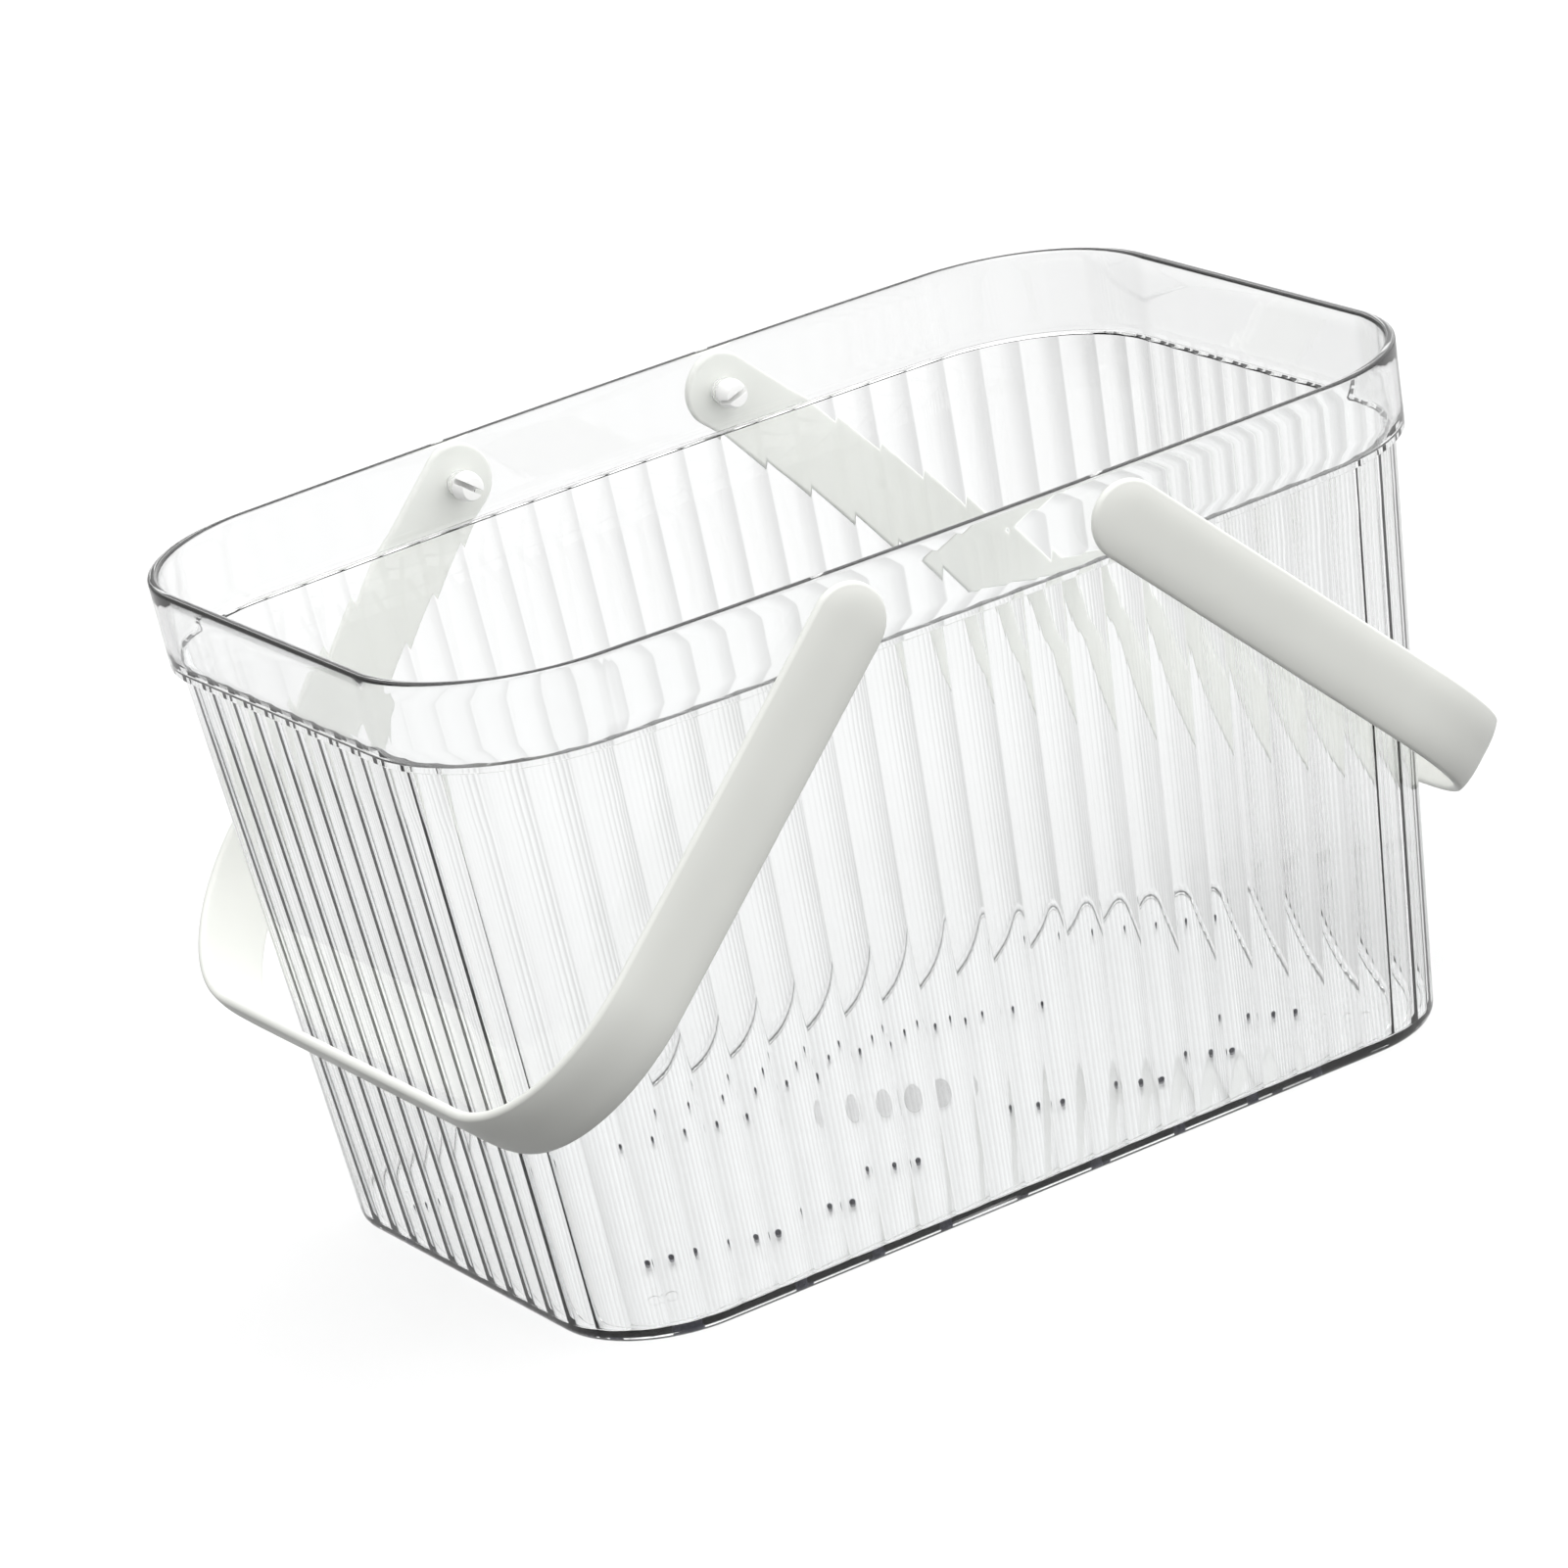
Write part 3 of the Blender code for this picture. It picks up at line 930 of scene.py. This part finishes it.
@dataclass(frozen=True)
class Studio:
    """The pale floor, the soft light and the camera."""

    aim: tuple[float, float, float] = (-0.0069, 0.0129, 0.0858)
    distance: float = 1.893
    azimuth: float = -27.17
    elevation: float = 19.32
    roll: float = -11.13
    lens: float = 179.24
    floor_size: float = 30.0
    floor_drop: float = 0.0002
    floor_colour: tuple[float, float, float] = (0.72, 0.72, 0.72)
    floor_bounce: tuple[float, float, float] = (0.08, 0.08, 0.08)
    # Painted light and shade: floor tones for rays bent through the clear plastic, set by how far sideways
    # they run, standing in for the room's bright and dark sides.
    floor_light_and_shade_tones: tuple[tuple[float, float], ...] = (
        (-1.0, 0.46), (-0.6, 0.48), (-0.3, 0.58), (-0.12, 0.63), (0.02, 0.61),
        (0.12, 0.50), (0.24, 0.44), (0.50, 0.52), (0.8, 0.66), (1.0, 0.76),
    )
    room: float = 0.26
    glows: tuple[Glow, ...] = (
        Glow("Z", 0.35, 0.80, 1.38),
        Glow("X", 0.20, 0.80, 1.3),
        Glow("Y", -0.25, -0.80, 0.68),
        Glow("Y", 0.20, 0.80, 0.30),
    )

    def add_camera(self) -> None:
        """Sets the camera, which looks down at the basket from its left front, rolled a little."""
        a, e, r = (math.radians(v) for v in (self.azimuth, self.elevation, self.roll))
        back = Vector((math.sin(a) * math.cos(e), -math.cos(a) * math.cos(e), math.sin(e)))
        level = Vector((math.cos(a), math.sin(a), 0))
        up = back.cross(level)
        right = level * math.cos(r) + up * math.sin(r)
        data = bpy.data.cameras.new("camera")
        data.lens = self.lens
        data.sensor_width = 36.0
        data.clip_end = 100.0
        camera = bpy.data.objects.new("camera", data)
        turn = Matrix((right, back.cross(right), back)).transposed()
        camera.matrix_world = Matrix.Translation(Vector(self.aim) + back * self.distance) @ turn.to_4x4()
        bpy.context.scene.collection.objects.link(camera)
        bpy.context.scene.camera = camera

    def add_floor(self) -> None:
        """Lays a plain pale floor just below height 0, which throws back less light than it shows.

        Rays bent by the clear plastic meet a painted tone of light and shade that depends on how far
        sideways they run, standing in for the room's bright and dark sides seen through the flutes.
        """
        half = self.floor_size / 2
        low = -self.floor_drop
        mesh = bpy.data.meshes.new("floor")
        corners = [(-half, -half, low), (half, -half, low), (half, half, low), (-half, half, low)]
        mesh.from_pydata(corners, [], [(0, 1, 2, 3)])
        material = bpy.data.materials.new("floor")
        material.use_nodes = True
        nodes, links = material.node_tree.nodes, material.node_tree.links
        shader = nodes["Principled BSDF"]
        shader.inputs["Roughness"].default_value = 0.9
        shader.inputs["Specular IOR Level"].default_value = 0.1
        path = nodes.new("ShaderNodeLightPath")
        seen_from = nodes.new("ShaderNodeNewGeometry")
        sideways = nodes.new("ShaderNodeVectorMath")
        sideways.operation = "DOT_PRODUCT"
        turn = math.radians(self.azimuth)
        sideways.inputs[1].default_value = (-math.cos(turn), -math.sin(turn), 0)
        links.new(seen_from.outputs["Incoming"], sideways.inputs[0])
        share = nodes.new("ShaderNodeMapRange")
        share.inputs["From Min"].default_value = -1.0
        links.new(sideways.outputs["Value"], share.inputs["Value"])
        ramp = nodes.new("ShaderNodeValToRGB")
        stops = ramp.color_ramp.elements
        stops[0].position, stops[1].position = 0.0, 1.0
        for place, tone in self.floor_light_and_shade_tones[1:-1]:
            stops.new((place + 1) / 2).color = (tone, tone, tone, 1.0)
        for stop, (_, tone) in ((stops[0], self.floor_light_and_shade_tones[0]), (stops[-1], self.floor_light_and_shade_tones[-1])):
            stop.color = (tone, tone, tone, 1.0)
        links.new(share.outputs["Result"], ramp.inputs["Fac"])

        def mixed(factor: bpy.types.NodeSocket, base: Any, other: Any) -> bpy.types.NodeSocket:
            """Adds a colour mix between two values or sockets."""
            mix = nodes.new("ShaderNodeMix")
            mix.data_type = "RGBA"
            links.new(factor, mix.inputs["Factor"])
            for label, value in (("A", base), ("B", other)):
                if isinstance(value, tuple):
                    mix.inputs[label].default_value = (*value, 1.0)
                else:
                    links.new(value, mix.inputs[label])
            return mix.outputs["Result"]

        # Camera rays see the plain floor. Rays bent by the plastic see the painted light and shade tones.
        shown = mixed(path.outputs["Is Camera Ray"], ramp.outputs["Color"], self.floor_colour)
        tone = mixed(path.outputs["Is Diffuse Ray"], shown, self.floor_bounce)
        links.new(tone, shader.inputs["Base Color"])
        mesh.materials.append(material)
        new_object("floor", mesh)

    def add_world(self) -> None:
        """Surrounds the set with a dim room whose ceiling and one side glow softly."""
        world = bpy.data.worlds.new("studio")
        bpy.context.scene.world = world
        world.use_nodes = True
        nodes, links = world.node_tree.nodes, world.node_tree.links
        place = nodes.new("ShaderNodeTexCoord")
        split = nodes.new("ShaderNodeSeparateXYZ")
        links.new(place.outputs["Generated"], split.inputs[0])
        light = None
        for glow in self.glows:
            fade = nodes.new("ShaderNodeMapRange")
            fade.interpolation_type = "SMOOTHSTEP"
            fade.inputs["From Min"].default_value = glow.begin
            fade.inputs["From Max"].default_value = glow.end
            fade.inputs["To Max"].default_value = glow.power
            links.new(split.outputs[glow.axis], fade.inputs["Value"])
            add = nodes.new("ShaderNodeMath")
            add.operation = "ADD"
            links.new(fade.outputs["Result"], add.inputs[0])
            if light is None:
                add.inputs[1].default_value = self.room
            else:
                links.new(light, add.inputs[1])
            light = add.outputs[0]
        links.new(light, nodes["Background"].inputs["Color"])

    def build(self) -> None:
        """Sets up the whole studio."""
        bpy.context.scene.view_settings.view_transform = "Standard"
        self.add_floor()
        self.add_world()
        self.add_camera()
        LOG.info("studio: camera at azimuth %.1f, elevation %.1f", self.azimuth, self.elevation)


# ---------------------------------------------------------------- the caddy


@dataclass
class Caddy:
    """The whole caddy, laid out from the frame's boxes."""

    rim_length: float = 0.280
    rim_width: float = 0.1866
    pivot_spacing: float = 0.0766
    pivot_depth: float = 0.0122
    grip_reach: float = 0.1413
    pin_head_length: float = 0.0044
    drop: float = math.radians(45.087)
    pin_turns: tuple[tuple[Side, Row, float], ...] = (
        (Side.LEFT, Row.FRONT, 10.0),
        (Side.LEFT, Row.REAR, -6.0),
        (Side.RIGHT, Row.FRONT, -17.0),
        (Side.RIGHT, Row.REAR, 26.0),
    )

    def build(self) -> None:
        """Builds every piece of the caddy."""
        low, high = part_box("basket")
        height = (high - low).z
        group = moulded_skin_group()
        clear = CLEAR_FINISH.make(group)
        frosted = FROSTED_FINISH.make(group)
        strap = STRAP_FINISH.make(group)
        pin = PIN_FINISH.make(group)
        pivot_x, pivot_z = self.pivot_spacing / 2, height - self.pivot_depth
        basket = Basket(self.rim_length, self.rim_width, height, pivot_x, pivot_z)
        basket.build(clear, frosted, HOLE_SHADE_FINISH.make(group))
        outer_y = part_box("handle_left")[1].y
        for side in Side:
            StrapHandle(side, pivot_x, pivot_z, self.grip_reach, self.drop, outer_y).build(strap)
        for side, row, turn in self.pin_turns:
            node = f"snap_pin_{side.name.lower()}_{row.name.lower()}"
            inner, outer = sorted(abs(corner.y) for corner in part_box(node))
            seat = inner + self.pin_head_length
            SnapPin(side, row, pivot_x, pivot_z, seat, outer, self.drop, math.radians(turn)).build(pin)


def main() -> None:
    """Loads the frame and builds the caddy and the studio."""
    logging.basicConfig(level=logging.INFO, format="%(message)s")
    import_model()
    Caddy().build()
    Studio().build()


if __name__ == "__main__":
    main()
